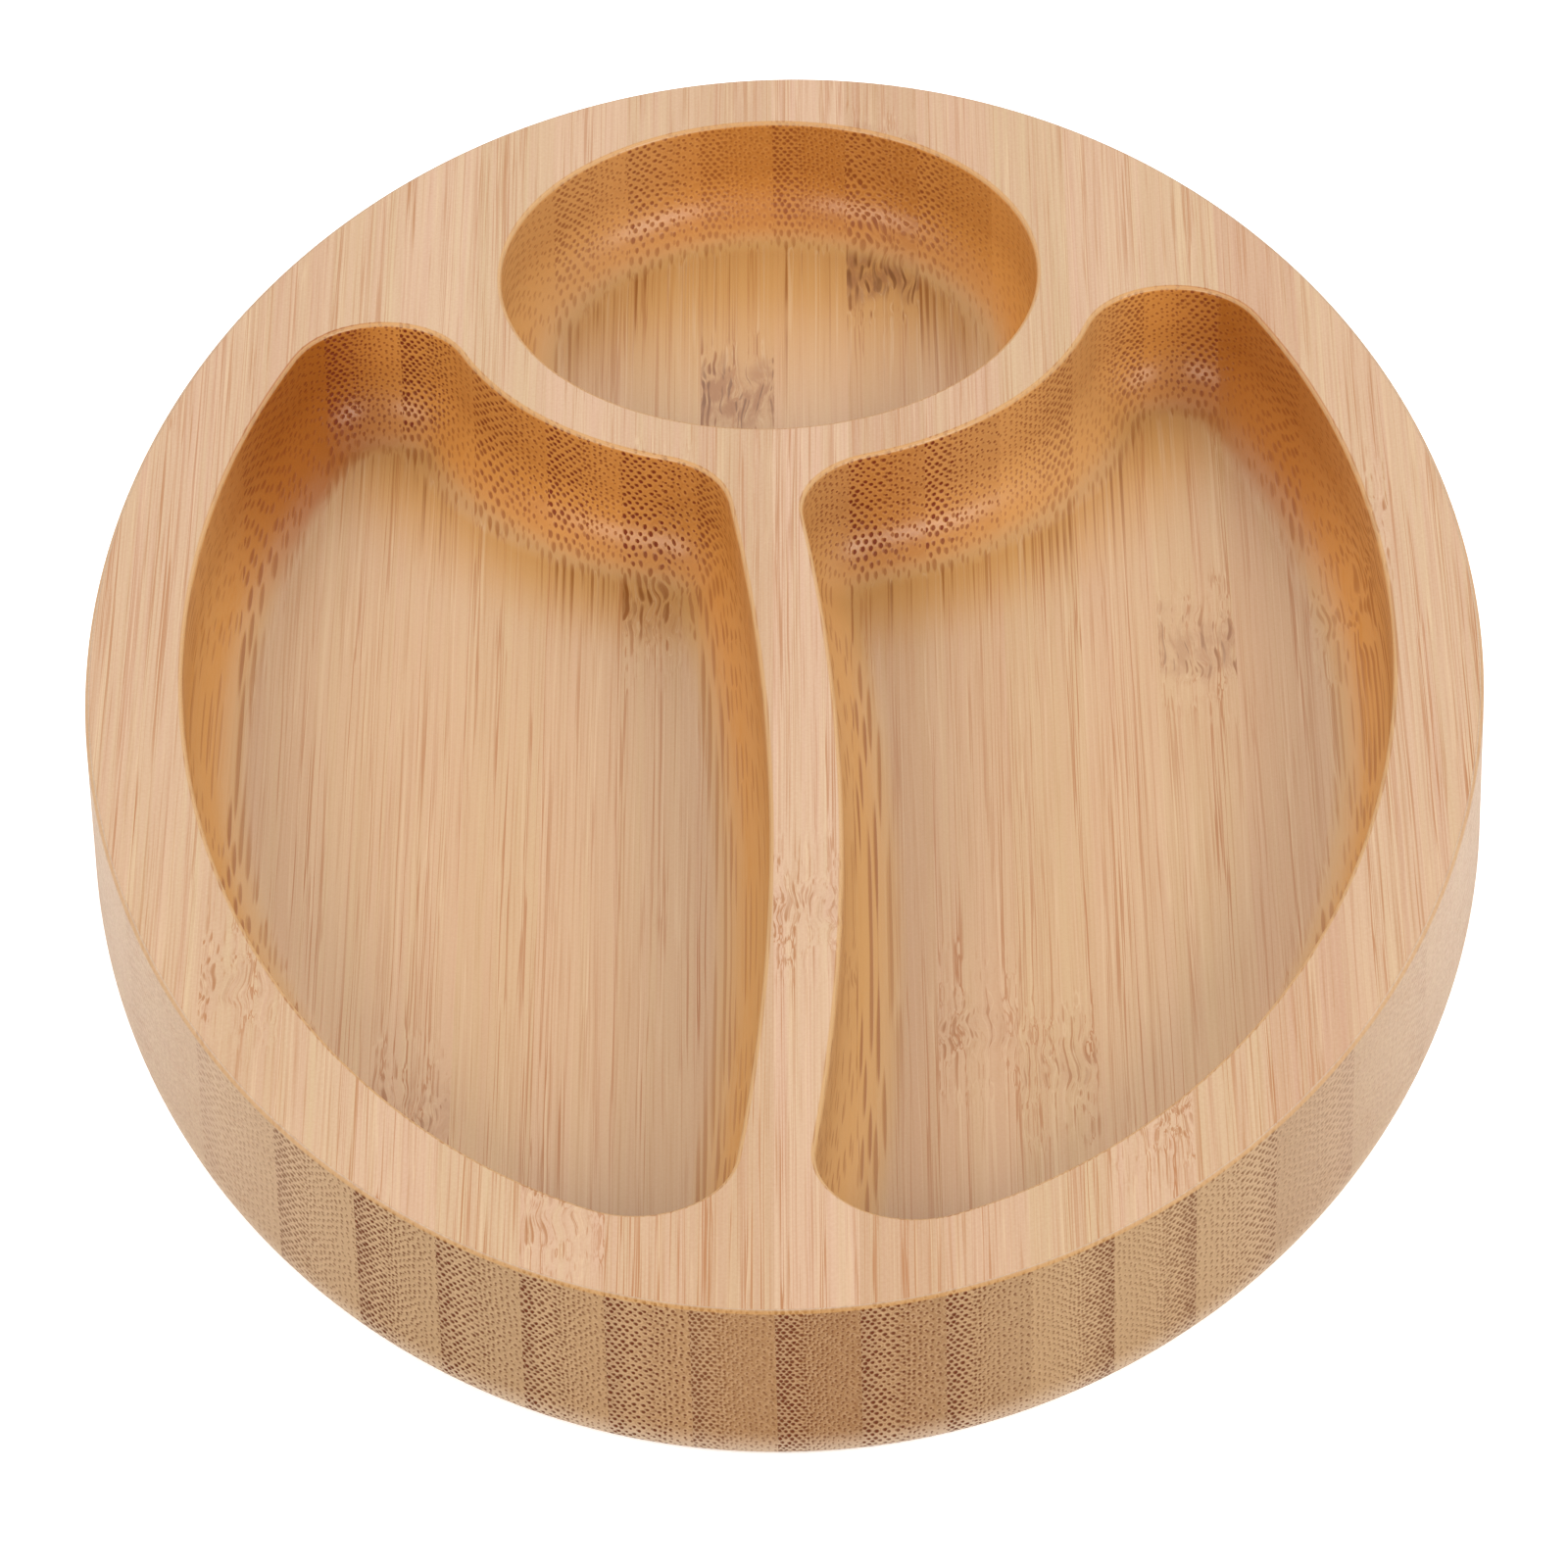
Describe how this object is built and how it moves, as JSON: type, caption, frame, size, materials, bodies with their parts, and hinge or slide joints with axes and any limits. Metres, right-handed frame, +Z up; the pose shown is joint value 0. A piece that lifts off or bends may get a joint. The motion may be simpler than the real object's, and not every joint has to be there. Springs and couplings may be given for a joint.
{
  "type": "divided plate",
  "caption": "Oval bamboo plate carved from glued upright strips, with a round bowl and long side pockets parted by a curved divider, for serving foods kept apart.",
  "frame": {"origin": "middle of the underside, on the surface that the plate stands on", "axes": "+Z up, +Y along the grain towards the round bowl, +X to the right seen from the end away from the bowl"},
  "size_m": [0.15, 0.22, 0.02],
  "materials": {
    "bamboo": "sanded and oiled, satin"
  },
  "bodies": {
    "root": {"strip_01": "bamboo", "strip_02": "bamboo", "strip_03": "bamboo", "strip_04": "bamboo", "strip_05": "bamboo", "strip_06": "bamboo", "strip_07": "bamboo", "strip_08": "bamboo", "strip_09": "bamboo", "strip_10": "bamboo", "strip_11": "bamboo", "strip_12": "bamboo", "strip_13": "bamboo", "strip_14": "bamboo", "strip_15": "bamboo", "strip_16": "bamboo", "strip_17": "bamboo", "strip_18": "bamboo"}
  },
  "joints": []
}
